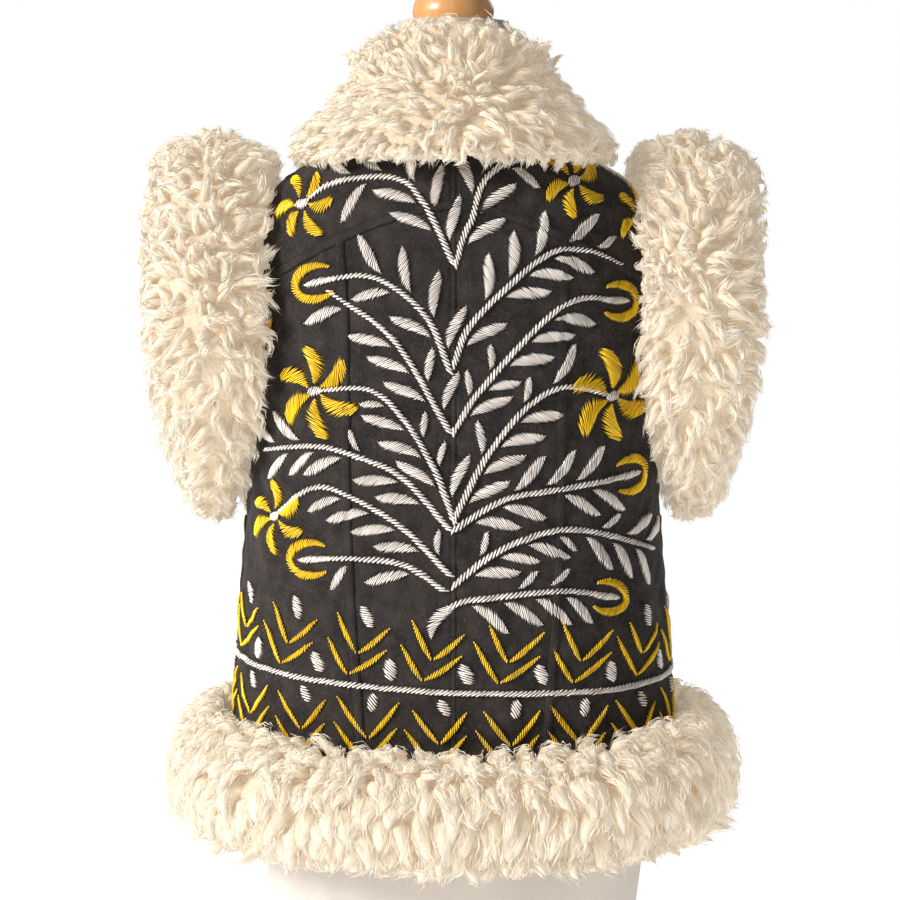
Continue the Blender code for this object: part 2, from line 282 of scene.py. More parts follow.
CLOTH = napped_cloth()
# each thread's second colour is its painted shade, the colour at its foot between threads
WHITE_THREAD = thread("white_thread", (0.98, 0.91, 0.85), (0.40, 0.33, 0.29))
YELLOW_THREAD = thread("yellow_thread", (1.0, 0.67, 0.004), (0.68, 0.35, 0.0))
FLEECE = fleece()
COVER = form_cover()
WOOD = turned_wood()
print("finishes:", len(bpy.data.materials))

# %% [markdown]
# ## From a CAD solid to a smooth skin
#
# A CAD solid arrives as loose flat triangles. Merging the points and joining triangles
# into quads gives back its rings and columns, and a Subdivision Surface then rounds it.


# %% Smooth copies of a solid
def welded(node):
    """A bmesh of a CAD node with its points merged and its triangles joined to quads."""
    bm = bmesh.new()
    bm.from_mesh(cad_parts[node].data)
    bmesh.ops.remove_doubles(bm, verts=bm.verts[:], dist=2e-5)
    bmesh.ops.join_triangles(
        bm,
        faces=bm.faces[:],
        angle_face_threshold=math.radians(30),
        angle_shape_threshold=math.radians(80),
    )
    return bm


def as_mesh(bm, name):
    """The bmesh as a mesh. The bmesh is let go."""
    mesh = bpy.data.meshes.new(name)
    bm.to_mesh(mesh)
    bm.free()
    return mesh


def shown(name, mesh, material, slot, node=None):
    """Links a finished mesh as a piece that rides with the model."""
    piece = linked(name, mesh)
    mesh.materials.clear()
    mesh.materials.append(material)
    mesh.shade_smooth()
    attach(piece, "root")
    if node:
        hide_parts(node)
    return piece


def rounded(bm, name, levels):
    """The bmesh as a mesh that a Subdivision Surface has smoothed."""
    mesh = as_mesh(bm, name)
    holder = linked(name, mesh)
    smooth = holder.modifiers.new("smooth", "SUBSURF")
    smooth.levels = smooth.render_levels = levels
    smooth.boundary_smooth = "PRESERVE_CORNERS"
    ready = holder.evaluated_get(bpy.context.evaluated_depsgraph_get())
    made = bpy.data.meshes.new_from_object(ready)
    bpy.data.objects.remove(holder)
    bpy.data.meshes.remove(mesh)
    made.name = name
    return made


def thickened(piece, thickness):
    """Gives a piece its wall, inwards from the side that is modelled."""
    wall = piece.modifiers.new("wall", "SOLIDIFY")
    wall.thickness = thickness
    wall.offset = -1


# %% The dress form and its knob
for node, levels, material, slot in (
    ("form_torso", 1, COVER, "form_cover"),
    ("neck_knob", 2, WOOD, "turned_wood"),
):
    solid = welded(node)
    crease = solid.edges.layers.float.new("crease_edge")
    for edge in [e for e in solid.edges if e.calc_face_angle(0) > math.radians(60)]:
        edge[crease] = 0.8
    mesh = rounded(solid, node + "_smooth", levels)
    shown(node + "_smooth", mesh, material, slot, node)
    print(node, len(mesh.polygons), "faces")

# %% [markdown]
# ## The cloth
#
# Each cut piece is a wall with an outer side, an inner side and rims. The outer side is
# kept, smoothed and creased, and a Solidify modifier gives it back its thickness. The
# pieces stay apart, as they were cut.

# %% The outer side of a cloth wall
PANELS = [
    name
    for name in sorted(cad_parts)
    if name.startswith(("back_", "centre_", "side_", "front_"))
]
CHEST = 0.62  # the highest point that serves as the vest's inside


def islands(bm):
    """The bmesh's faces in groups that share points."""
    left = set(bm.faces)
    while left:
        todo = [left.pop()]
        group = list(todo)
        while todo:
            for vert in todo.pop().verts:
                near = [face for face in vert.link_faces if face in left]
                left.difference_update(near)
                todo += near
                group += near
        yield group


def outer_side(bm):
    """Removes all but the largest group of faces that look away from the body."""
    sharp = [e for e in bm.edges if e.calc_face_angle(0) > math.radians(55)]
    bmesh.ops.split_edges(bm, edges=sharp)

    def outward_area(group):
        total = 0.0
        for face in group:
            middle = face.calc_center_median()
            inside = Vector((0, 0, min(middle.z, CHEST)))
            total += face.calc_area() * math.copysign(1, face.normal.dot(middle - inside))
        return total

    kept = set(max(islands(bm), key=outward_area))
    spare = [face for face in bm.faces if face not in kept]
    bmesh.ops.delete(bm, geom=spare, context="FACES")
    return bm


skins = {name: rounded(outer_side(welded(name)), "cloth_" + name, 2) for name in PANELS}
print("cloth:", {name: len(mesh.polygons) for name, mesh in skins.items()})


# %% A map of the cloth
def arrays(mesh):
    """A mesh's points and the point numbers of its faces."""
    points = np.empty(len(mesh.vertices) * 3)
    mesh.vertices.foreach_get("co", points)
    return points.reshape(-1, 3), [tuple(face.vertices) for face in mesh.polygons]


def normals_of(mesh):
    """The smooth normal at each of a mesh's points."""
    normals = np.empty(len(mesh.vertices) * 3)
    mesh.vertices.foreach_get("normal", normals)
    return normals.reshape(-1, 3)


def carry(mesh, name, numbers):
    """Gives each point of a mesh its own number, or its own three."""
    kind, key = ("FLOAT_VECTOR", "vector") if numbers.ndim > 1 else ("FLOAT", "value")
    mesh.attributes.new(name, kind, "POINT").data.foreach_set(key, numbers.reshape(-1))


def joined_tree(meshes):
    """The faces of several meshes in one tree, for rays and nearest points."""
    points, faces = [], []
    for mesh in meshes:
        own_points, own_faces = arrays(mesh)
        start = len(points)
        points += [tuple(p) for p in own_points]
        faces += [tuple(i + start for i in face) for face in own_faces]
    return BVHTree.FromPolygons(points, faces)


class ClothMap:
    """Points of the cloth by girth and height.

    Girth is the distance round the cloth from the centre back, negative towards -X.
    """

    LOW, HIGH, STEP = 0.168, 0.786, 0.003
    GIRTH, GIRTH_STEP = 0.62, 0.004
    RAYS = 360
    RAYS_FROM = 0.6  # from the axis, well outside the cloth
    SEEN_HALF = 0.27  # the girth from the centre back that shows from straight behind

    def __init__(self, tree):
        self.heights = np.arange(self.LOW, self.HIGH, self.STEP)
        self.girths = np.arange(-self.GIRTH, self.GIRTH + 1e-6, self.GIRTH_STEP)
        self.turns = np.linspace(-1.5 * math.pi, 0.5 * math.pi, self.RAYS + 1)
        rows = [self.row(tree, height) for height in self.heights]
        self.spots = np.array([spots for spots, _ in rows])
        self.travelled = np.array([travelled for _, travelled in rows])
        normals = np.cross(np.gradient(self.spots, axis=1), np.gradient(self.spots, axis=0))
        size = np.linalg.norm(normals, axis=2, keepdims=True)
        self.normals = normals / np.maximum(size, 1e-12)

    def row(self, tree, height):
        """The cloth's outline at one height, read off at even steps of girth."""
        radii = np.full(len(self.turns), np.nan)
        for index, turn in enumerate(self.turns):
            out = Vector((math.cos(turn), math.sin(turn), 0))
            start = out * self.RAYS_FROM + Vector((0, 0, height))
            hit = tree.ray_cast(start, -out, self.RAYS_FROM)
            if hit[0]:
                radii[index] = math.hypot(hit[0].x, hit[0].y)
        known = ~np.isnan(radii)
        radii = np.interp(self.turns, self.turns[known], radii[known])
        line = np.stack([np.cos(self.turns) * radii, np.sin(self.turns) * radii], axis=1)
        steps = np.linalg.norm(np.diff(line, axis=0), axis=1)
        travelled = np.concatenate([[0.0], np.cumsum(steps)])
        travelled -= travelled[self.RAYS // 2]
        x = np.interp(self.girths, travelled, line[:, 0])
        y = np.interp(self.girths, travelled, line[:, 1])
        return np.stack([x, y, np.full(len(x), height)], axis=1), travelled

    def half(self, height):
        """The girth from the centre back to the centre front."""
        return np.interp(height, self.heights, self.travelled[:, -1])

    def seen(self, x, height):
        """The girth at which the back of the cloth is x to the side."""
        row = self.spots[int(np.argmin(abs(self.heights - height)))]
        middle = len(row) // 2
        reach = int(self.SEEN_HALF / self.GIRTH_STEP)
        part = slice(middle - reach, middle + reach)
        return float(np.interp(x, row[part, 0], self.girths[part]))

    def read(self, tables, line, column):
        """The tables' values between their lines and columns."""
        line = np.clip(line, 0, tables[0].shape[0] - 1.001)
        column = np.clip(column, 0, tables[0].shape[1] - 1.001)
        i, j = line.astype(int), column.astype(int)
        u, v = line - i, column - j
        found = []
        for table in tables:
            if table.ndim == 3:
                u, v = np.reshape(u, (*i.shape, 1)), np.reshape(v, (*i.shape, 1))
            low = table[i, j] * (1 - v) + table[i, j + 1] * v
            high = table[i + 1, j] * (1 - v) + table[i + 1, j + 1] * v
            found.append(low * (1 - u) + high * u)
        return found

    def at(self, girth, height, lift=0.0):
        """Points over the cloth, and its normals there, for arrays of places."""
        column = (np.asarray(girth) + self.GIRTH) / self.GIRTH_STEP
        line = (np.asarray(height) - self.LOW) / self.STEP
        spots, normals = self.read((self.spots, self.normals), line, column)
        return spots + normals * np.asarray(lift)[..., None], normals

    def place_of(self, points):
        """The girth and height of points on the cloth."""
        turn = np.arctan2(points[:, 1], points[:, 0])
        turn = np.where(turn > 0.5 * math.pi, turn - 2 * math.pi, turn)
        column = (turn + 1.5 * math.pi) / (2 * math.pi) * self.RAYS
        line = (points[:, 2] - self.LOW) / self.STEP
        return self.read((self.travelled,), line, column)[0], points[:, 2]


smooth_map = ClothMap(joined_tree(skins.values()))
print("girth at the hem:", round(2 * float(smooth_map.half(0.17)), 3), "m")

# %% [markdown]
# ### Creases
#
# The cloth hangs almost smooth. A few soft folds start under the arms and across the
# small of the back, and the stitching draws the cloth in beside the stems, so that its
# surface is slightly uneven all over. Each crease is a trough with a soft ridge beside
# it, placed by girth and height.

# %% Creases
Crease = namedtuple("Crease", "girth height length lean depth width")
CREASES = [
    Crease(-0.145, 0.475, 0.100, 28, 0.0022, 0.009),
    Crease(-0.168, 0.440, 0.070, 36, 0.0016, 0.008),
    Crease(0.150, 0.480, 0.085, -24, 0.0018, 0.009),
    Crease(-0.100, 0.600, 0.120, 8, 0.0013, 0.011),
    Crease(0.118, 0.585, 0.100, -10, 0.0014, 0.010),
    Crease(-0.060, 0.340, 0.090, -14, 0.0013, 0.012),
    Crease(0.088, 0.330, 0.075, 12, 0.0012, 0.010),
    Crease(-0.205, 0.345, 0.120, 5, 0.0020, 0.012),
    Crease(0.215, 0.350, 0.130, -7, 0.0022, 0.013),
    Crease(0.000, 0.640, 0.080, 0, 0.0010, 0.008),
    Crease(-0.300, 0.400, 0.130, -16, 0.0021, 0.012),
    Crease(0.310, 0.410, 0.120, 18, 0.0019, 0.012),
    Crease(-0.385, 0.560, 0.110, -24, 0.0017, 0.011),
    Crease(0.392, 0.545, 0.090, 20, 0.0016, 0.010),
    Crease(-0.460, 0.330, 0.100, 6, 0.0016, 0.012),
    Crease(0.440, 0.350, 0.120, -9, 0.0018, 0.012),
]
PUCKER = 0.00055
PUCKER_WAVE = 0.021


def creased(mesh):
    """Moves the points of a cloth piece in and out along its own normals."""
    points, _ = arrays(mesh)
    normals = normals_of(mesh)
    girth, height = smooth_map.place_of(points)
    lift = np.zeros(len(points))
    for crease in CREASES:
        lean = math.radians(crease.lean)
        across, up = girth - crease.girth, height - crease.height
        along = across * math.sin(lean) + up * math.cos(lean)
        aside = across * math.cos(lean) - up * math.sin(lean)
        fade = np.exp(-((along / (crease.length / 2)) ** 2) * 1.6)
        share = aside / crease.width
        lift += crease.depth * fade * (0.55 * np.exp(-((share - 1.5) ** 2)) - np.exp(-(share**2)))
    wave = 2 * math.pi / PUCKER_WAVE
    lift += PUCKER * np.sin(girth * wave + 2.2 * np.sin(height * wave * 0.31))
    lift += PUCKER * np.sin(height * wave * 0.83 + 2.6 * np.sin(girth * wave * 0.27))
    mesh.vertices.foreach_set("co", (points + normals * lift[:, None]).reshape(-1))
    mesh.update()


for mesh in skins.values():
    creased(mesh)
cloth_tree = joined_tree(skins.values())
cloth_map = ClothMap(cloth_tree)
print("creases:", len(CREASES))

# %% The cloth pieces
CLOTH_WALL = 0.003


def cut_size(mesh):
    """The piece's width and length laid flat, and its flat area, in metres."""
    girth, height = smooth_map.place_of(arrays(mesh)[0])
    area = sum(face.area for face in mesh.polygons)
    width = float(np.ptp(girth))
    length = max(float(np.ptp(height)), area / width * 1.02)
    return width, length, area


panels = {}
for name, mesh in skins.items():
    width, length, area = cut_size(mesh)
    panel = shown("cloth_" + name, mesh, CLOTH, "napped_cloth", name)
    thickened(panel, CLOTH_WALL)
    panels[name] = (panel, (round(width, 3), round(length, 3)), round(area, 4))
    print(panel.name, "cut", panels[name][1:])

# %% [markdown]
# ### Felled seams
#
# Where two pieces meet, their allowances are folded under and stitched down on both
# sides, which leaves a flat raised band with a row of small dents near each rim. Its
# line is found from the rims that two neighbouring pieces share.


# %% Seam lines
SEAM_GAP = 0.0022  # rims nearer to each other than this are sewn together
CLOSEST = 0.0008  # nearer points than this on a line are one point


def rim_points(mesh):
    """The points round the rims of a cloth piece."""
    bm = bmesh.new()
    bm.from_mesh(mesh)
    rim = np.array([vert.co[:] for vert in bm.verts if vert.is_boundary])
    bm.free()
    return rim


def seam_line(first, second, by_height):
    """Where two pieces meet, as a smooth line of (girth, height)."""
    tree = KDTree(len(rim_points(skins[second])))
    for index, point in enumerate(rim_points(skins[second])):
        tree.insert(point, index)
    tree.balance()
    shared = [p for p in rim_points(skins[first]) if tree.find(p)[2] < SEAM_GAP]
    line = np.stack(smooth_map.place_of(np.array(shared)), axis=1)
    line = line[np.argsort(line[:, 1 if by_height else 0])]
    apart = np.linalg.norm(np.diff(line, axis=0), axis=1) > CLOSEST
    return line[np.concatenate([[True], apart])]


def evenly(path, step):
    """The path's points again, at even steps."""
    path = np.asarray(path, dtype=float)
    travelled = np.concatenate([[0], np.cumsum(np.linalg.norm(np.diff(path, axis=0), axis=1))])
    count = max(int(travelled[-1] / step) + 1, 3)
    at = np.linspace(0, travelled[-1], count)
    return np.stack([np.interp(at, travelled, path[:, k]) for k in (0, 1)], axis=1)


# %% Felled seams
WELT_ROW = 0.002  # every second row is a stitch
WELT_COLUMNS = 8
WELT_WALL = 0.0006
STITCH_AT = 0.75  # how far out the stitches lie, as a share of the band's half width


def welt(name, line, half_width=0.0045, rise=0.0013):
    """A raised band along a seam, its rims tucked just under the cloth's surface."""
    line = evenly(line, WELT_ROW)
    bm = bmesh.new()
    bmesh.ops.create_grid(bm, x_segments=WELT_COLUMNS, y_segments=len(line) - 1, size=1)
    mesh = as_mesh(bm, name)
    flat, _ = arrays(mesh)
    row = np.rint((flat[:, 1] + 1) / 2 * (len(line) - 1)).astype(int)
    run = np.gradient(line, axis=0)
    run /= np.linalg.norm(run, axis=1, keepdims=True)
    across = flat[:, 0]
    girth = line[row, 0] + run[row, 1] * across * half_width
    height = line[row, 1] - run[row, 0] * across * half_width
    stitched = np.isclose(abs(across), STITCH_AT) * np.where(row % 2, 0.0012, 0.0006)
    lift = np.where(np.isclose(abs(across), 1), -0.0004, rise) - stitched
    points, _ = cloth_map.at(girth, height, lift)
    mesh.vertices.foreach_set("co", points.reshape(-1))
    # painted shade: the band's colour is darkest at its rims and along its stitch rows
    carry(mesh, "painted_seam_shade", np.interp(abs(across), (0, 0.5, STITCH_AT, 1), (0, 0, 0.8, 1.0)))
    mesh.update()
    if mesh.polygons[0].normal.dot(cloth_map.at(line[:1, 0], line[:1, 1])[1][0]) < 0:
        mesh.flip_normals()
    piece = shown(name, mesh, CLOTH, "napped_cloth")
    thickened(piece, WELT_WALL)
    return piece


seams = {}
for side in ("left", "right"):
    back, aside, yoke = "centre_back_" + side, "side_back_" + side, "back_yoke_" + side
    front = "front_" + side
    lines = {
        "princess_seam_" + side: (seam_line(back, aside, True), back),
        "side_seam_" + side: (seam_line(aside, front, True), aside),
        "shoulder_seam_" + side: (seam_line(yoke, front, False), yoke),
    }
    for name, (line, owner) in lines.items():
        seams[welt(name, line)] = owner
yoke_line = np.concatenate(
    [
        seam_line("back_yoke_left", "side_back_left", False),
        seam_line("back_yoke_left", "centre_back_left", False),
        seam_line("back_yoke_right", "centre_back_right", False),
        seam_line("back_yoke_right", "side_back_right", False),
    ]
)
seams[welt("yoke_seam", yoke_line, 0.0046, 0.0019)] = "back_yoke_left"
middle = np.array([(0.0, cloth_map.LOW), (0.0, cloth_map.HIGH - 0.01)])
seams[welt("centre_back_seam", middle, 0.0030, 0.0008)] = "centre_back_left"
print("seams:", [piece.name for piece in seams])

# %% [markdown]
# ## Many copies of a small form
#
# Embroidery and fleece are thousands of small closed forms. One thread, one lock and one
# strand of wool are modelled once with bmesh operators, and every copy is that form bent
# to its own place, all joined in a few meshes.

# %% One mesh from many copies
CHANCE = np.random.default_rng(874)


class Form:
    """A small closed form along Z from 0 to 1, as points and triangles."""

    def __init__(self, bm):
        bmesh.ops.triangulate(bm, faces=bm.faces[:])
        bm.verts.index_update()
        self.points = np.array([vert.co[:] for vert in bm.verts])
        self.faces = np.array([[vert.index for vert in face.verts] for face in bm.faces])
        bm.free()
        self.along = self.points[:, 2]
        self.angle = np.arctan2(self.points[:, 1], self.points[:, 0])
        self.wide = np.hypot(self.points[:, 0], self.points[:, 1])


def joined(name, form, points, values):
    """A mesh of copies. points holds (copy, point of the form, axis)."""
    copies, each = points.shape[:2]
    loops = (form.faces[None] + (np.arange(copies) * each)[:, None, None]).reshape(-1)
    mesh = bpy.data.meshes.new(name)
    mesh.vertices.add(copies * each)
    mesh.vertices.foreach_set("co", points.reshape(-1))
    mesh.loops.add(len(loops))
    mesh.loops.foreach_set("vertex_index", loops)
    mesh.polygons.add(len(loops) // 3)
    mesh.polygons.foreach_set("loop_start", np.arange(0, len(loops), 3))
    for value_name, numbers in values.items():
        if numbers.ndim == 3:
            carry(mesh, value_name, numbers.reshape(-1, 3))
        else:
            carry(mesh, value_name, np.broadcast_to(numbers, (copies, each)).reshape(-1))
    mesh.update(calc_edges=True)
    return mesh


def spindle():
    """A thread with three sides, two rings and a point at each end."""
    bm = bmesh.new()
    bmesh.ops.create_cone(
        bm, cap_ends=True, cap_tris=False, segments=3, radius1=1, radius2=1, depth=0.56
    )
    caps = [face for face in bm.faces if abs(face.normal.z) > 0.9]
    for vert in bmesh.ops.poke(bm, faces=caps)["verts"]:
        vert.co.z = math.copysign(0.5, vert.co.z)
    bmesh.ops.translate(bm, verts=bm.verts[:], vec=(0, 0, 0.5))
    form = Form(bm)
    turn = math.pi / 2 - form.angle[form.wide > 0.5].max()
    form.angle = form.angle + turn
    form.points[:, 0] = np.cos(form.angle) * form.wide
    form.points[:, 1] = np.sin(form.angle) * form.wide
    return form


THREAD = spindle()
print("a thread has", len(THREAD.faces), "triangles")

# %% [markdown]
# ## Embroidery
#
# Every motif is satin stitch: threads laid side by side, aslant, over a little padding.
# A motif is a line with a width that changes along it, so one function sews them all.
# Stems are narrow and even like rope, leaves swell in their middle, and petals near
# their tips.

# %% Satin stitch
FINE, ROPE = 0.0020, 0.0040  # from one thread to the next, in satin and in rope
THICK = 0.58  # a thread's radius as a share of the gap between threads


class Needlework:
    """The threads of one colour."""

    def __init__(self):
        self.rows = []

    def satin(self, line, half_width, profile, slant=50, pad=0.0012, pitch=FINE):
        """Threads across a line of (girth, height). profile is the width along it."""
        line = evenly(line, pitch)
        count = len(line)
        share = np.linspace(0, 1, count)
        knots = np.linspace(0, 1, len(profile))
        width = np.interp(share, knots, profile) * half_width
        width = width * CHANCE.uniform(0.92, 1.08, count) + 0.0003
        run = np.gradient(line, axis=0)
        turn = np.arctan2(run[:, 1], run[:, 0]) + math.radians(slant)
        turn += CHANCE.normal(0, 0.05, count)
        lean = abs(math.sin(math.radians(slant)))
        reach = width / lean
        step = np.stack([np.cos(turn), np.sin(turn)], axis=1) * reach[:, None]
        dome = pad * np.sqrt(np.minimum(width / half_width, 1))
        tone = CHANCE.uniform(0, 1, count)
        radius = np.full(count, pitch * lean * THICK) * CHANCE.uniform(0.9, 1.12, count)
        self.rows.append(np.column_stack([line - step, line + step, dome, tone, radius]))

    def mesh(self, name):
        rows = np.concatenate(self.rows)
        along = THREAD.along
        places = rows[:, None, 0:2] * (1 - along)[:, None] + rows[:, None, 2:4] * along[:, None]
        inner = THREAD.wide > 0
        radius = rows[:, 6:7] * inner
        lift = rows[:, 4:5] * (1 - (2 * along - 1) ** 4) + radius * 0.5 + 0.0001
        points, normals = cloth_map.at(places[..., 0], places[..., 1], lift)
        run = points[:, along > 0.99] - points[:, along < 0.01]
        side = np.cross(normals, np.broadcast_to(run, normals.shape))
        side /= np.maximum(np.linalg.norm(side, axis=2, keepdims=True), 1e-9)
        points += side * (THREAD.points[:, 0] * radius)[..., None]
        points += normals * (THREAD.points[:, 1] * radius)[..., None]
        # top places each thread's painted shade: its foot is darkest
        top = np.where(inner, THREAD.points[:, 1] * 0.67 + 0.33, 0.6)
        return joined(name, THREAD, points, {"tone": rows[:, 5:6], "top": top[None]})


def curve_through(points, parts=10):
    """A smooth line through a few places."""
    points = np.asarray(points, dtype=float)
    padded = np.vstack([2 * points[0] - points[1], points, 2 * points[-1] - points[-2]])
    t = np.linspace(0, 1, parts, endpoint=False)[:, None]
    line = []
    for a, b, c, d in zip(padded, padded[1:], padded[2:], padded[3:]):
        cubic = (3 * b - a - 3 * c + d) * t**3
        line.append(0.5 * (2 * b + (c - a) * t + (2 * a - 5 * b + 4 * c - d) * t**2 + cubic))
    return np.vstack([*line, points[-1:]])


def bent(start, angle, length, bend):
    """A line from start at an angle in degrees, which turns by bend degrees on its way."""
    turns = np.radians(angle + np.linspace(0, bend, 7))
    steps = np.stack([np.cos(turns), np.sin(turns)], axis=1) * length / 7
    return np.vstack([start, np.asarray(start) + np.cumsum(steps, axis=0)])


# %% Places already sewn
DISC_STEP = 0.003


class Sewn:
    """Discs that cover the motifs so far, so that the next leaf finds room."""

    def __init__(self):
        self.discs = np.empty((0, 3))

    def add(self, line, half_width):
        line = evenly(line, DISC_STEP)
        radius = np.broadcast_to(half_width, len(line))
        self.discs = np.vstack([self.discs, np.column_stack([line, radius])])

    def clear(self, line, half_width):
        gaps = np.linalg.norm(line[:, None] - self.discs[None, :, :2], axis=2)
        return bool(np.all(gaps > self.discs[None, :, 2] + half_width[:, None]))


# %% The motifs
white, yellow = Needlework(), Needlework()
sewn = Sewn()
LEAF = (0.0, 0.5, 0.8, 0.97, 1.0, 0.9, 0.62, 0.0)
PETAL = (0.12, 0.4, 0.7, 0.92, 1.0, 0.93, 0.5)
ARM = (0.35, 0.8, 1.0, 1.0, 0.9, 0.6, 0.15)
CRESCENT = (0.3, 0.7, 0.95, 1.0, 1.0, 1.0, 0.95, 0.7, 0.3)
STEM_WIDTH = 0.0026


def leaf(start, angle, length, half_width, bend):
    line = bent(start, angle, length, bend)
    white.satin(line, half_width, LEAF, math.copysign(46, bend), 0.0015)
    sewn.add(line, half_width * 0.8)


def flower(centre, reach, count, turn, heart=0.0052):
    """Petals that curl the same way round a white heart."""
    centre = np.asarray(centre)
    for index in range(count):
        angle = turn + 360 / count * index + CHANCE.uniform(-7, 7)
        out = np.array([math.cos(math.radians(angle)), math.sin(math.radians(angle))])
        length = reach * CHANCE.uniform(0.88, 1.08)
        line = bent(centre + out * heart * 1.5, angle - 12, length, 30)
        yellow.satin(line, reach * 0.32, PETAL, 50, 0.0018)
    white.satin(bent(centre - (heart, 0), 0, heart * 2, 0), heart, (0.6, 1, 1, 0.6), 70, 0.0018)
    sewn.add([centre - (0.004, 0), centre + (0.004, 0)], reach + heart)


def bud(line, size=0.021):
    """A yellow crescent that holds the white seed at a stem's end."""
    end, run = line[-1], line[-1] - line[-4]
    run = run / np.linalg.norm(run)
    across = np.array([-run[1], run[0]])
    turns = np.radians(np.linspace(-128, 128, 31))
    ring = end - run * size * 0.45
    cosine, sine = np.cos(turns)[:, None], np.sin(turns)[:, None]
    arc = ring + size * (cosine * run * 1.05 + sine * across * 0.68)
    yellow.satin(arc, size * 0.235, CRESCENT, 56, 0.0016)
    seed = np.array([end - run * size * 1.25, end + run * size * 0.15])
    white.satin(seed, 0.0038, (0.5, 0.8, 1.0, 0.9, 0.1), 42, 0.0018)
    sewn.add(arc, size * 0.26)


def stem(places):
    line = curve_through(places)
    widths = (1.05, 1.1, 1.05, 1.0, 0.95, 0.9, 0.85, 0.6)
    white.satin(line, STEM_WIDTH, widths, 33, 0.0014, ROPE)
    sewn.add(line, STEM_WIDTH + 0.0010)
    return line


def branch(plan, places, turn=None):
    """A stem with its flower or bud. A flower's turn is drawn by chance if none is given."""
    line = stem(places)
    if plan.ends_in == "flower":
        flower(line[-1], plan.size, 6, CHANCE.uniform(0, 60) if turn is None else turn)
    elif plan.ends_in == "bud":
        bud(line, plan.size)
    return line


# %% [markdown]
# ### The tree of the back
#
# Pairs of stems rise from the centre back and arch outwards, one pair above another.
# Each stem is given by a few places, as seen from straight behind: how far to the side
# and how high. Leaves then fill the room along both sides of it.

# %% Stems of the back
Stem = namedtuple("Stem", "ends_in size places")
BACK_STEMS = [
    Stem(
        "flower",
        0.023,
        ((0, 0.658), (-0.025, 0.709), (-0.051, 0.731), (-0.102, 0.727), (-0.131, 0.709)),
    ),
    Stem("tip", 0, ((0.002, 0.658), (0.014, 0.692), (0.055, 0.7465), (0.078, 0.752))),
    Stem(
        "bud",
        0.021,
        ((-0.003, 0.566), (-0.021, 0.610), (-0.051, 0.638), (-0.081, 0.648), (-0.126, 0.640)),
    ),
    Stem("tip", 0, ((0, 0.572), (0.018, 0.610), (0.078, 0.664), (0.115, 0.669), (0.145, 0.657))),
    Stem("tip", 0, ((-0.003, 0.514), (-0.051, 0.593), (-0.107, 0.6345))),
    Stem("bud", 0.021, ((0, 0.514), (0.027, 0.5545), (0.096, 0.623), (0.150, 0.625))),
    Stem(
        "flower",
        0.031,
        ((0, 0.438), (-0.016, 0.481), (-0.042, 0.524), (-0.072, 0.550), (-0.120, 0.548)),
    ),
    Stem(
        "flower",
        0.034,
        ((0, 0.438), (0.027, 0.490), (0.061, 0.533), (0.096, 0.552), (0.138, 0.543)),
    ),
    Stem(
        "tip",
        0,
        ((-0.003, 0.430), (-0.042, 0.473), (-0.077, 0.490), (-0.118, 0.500), (-0.165, 0.494)),
    ),
    Stem("bud", 0.021, ((0, 0.430), (0.044, 0.4555), (0.096, 0.464), (0.162, 0.474))),
    Stem(
        "flower",
        0.025,
        ((-0.003, 0.391), (-0.042, 0.430), (-0.085, 0.4555), (-0.120, 0.464), (-0.156, 0.436)),
    ),
    Stem("tip", 0, ((0, 0.382), (0.027, 0.404), (0.061, 0.421), (0.1085, 0.428), (0.177, 0.404))),
    Stem("bud", 0.021, ((-0.008, 0.378), (-0.042, 0.3995), (-0.085, 0.404), (-0.132, 0.401))),
    Stem(
        "bud",
        0.019,
        ((-0.003, 0.364), (0.010, 0.369), (0.027, 0.371), (0.095, 0.376), (0.142, 0.367)),
    ),
]
BACK_FLOWERS = [
    (0.104, 0.729, 0.023, 6, 20),
    (0.160, 0.697, 0.021, 5, 60),
    (-0.172, 0.600, 0.020, 5, 10),
]


def on_back(places):
    """Places given as (to the side, height), seen from straight behind."""
    return [(cloth_map.seen(x, height), height) for x, height in places]


leaf(on_back([(-0.019, 0.337)])[0], 84, 0.037, 0.0060, -58)  # where the tree springs from
drawn = [branch(plan, on_back(plan.places)) for plan in BACK_STEMS]
for x, height, reach, count, turn in BACK_FLOWERS:
    flower(on_back([(x, height)])[0], reach, count, turn)

# %% Leaves along the stems
LEAF_SIZES = ((0.039, 0.0057), (0.034, 0.0052), (0.028, 0.0046), (0.021, 0.0038))
LEAF_LEANS = (32, 22, 44, 12)  # degrees from the stem, in the order that they're tried
LEAF_EVERY = 0.0145
LEAF_STANDS_OFF = 0.0058
LEAF_GAP = 0.0014
LINE_STEP = 0.001


def room_for_leaf(start, heading, side):
    """The longest leaf from start that meets nothing sewn, and how it lies."""
    for length, half_width in LEAF_SIZES:
        for lean in LEAF_LEANS:
            angle, bend = heading + side * lean, side * CHANCE.uniform(4, 22)
            trial = evenly(bent(start, angle, length, bend), DISC_STEP)
            share = np.linspace(0, 1, len(trial))
            needed = half_width * np.sin(math.pi * share**0.8) * 0.95 + LEAF_GAP
            if sewn.clear(trial, needed):
                return angle, length, half_width, bend
    return None


def leaves_along(line, first=0.020):
    """Leaves on one side and then the other of a stem."""
    line = evenly(line, LINE_STEP)
    count = 0
    places = range(int(first / LINE_STEP), len(line) - 6, int(LEAF_EVERY / LINE_STEP))
    for number, index in enumerate(places):
        run = line[index + 1] - line[index - 1]
        heading = math.degrees(math.atan2(run[1], run[0]))
        side = 1 if number % 2 else -1
        across = np.array([-run[1], run[0]]) / np.linalg.norm(run) * side
        start = line[index] + across * LEAF_STANDS_OFF
        found = room_for_leaf(start, heading, side)
        if found:
            leaf(start, *found)
            count += 1
    return count


leaf_count = sum(leaves_along(line) for line in drawn)
print("leaves on the back:", leaf_count)

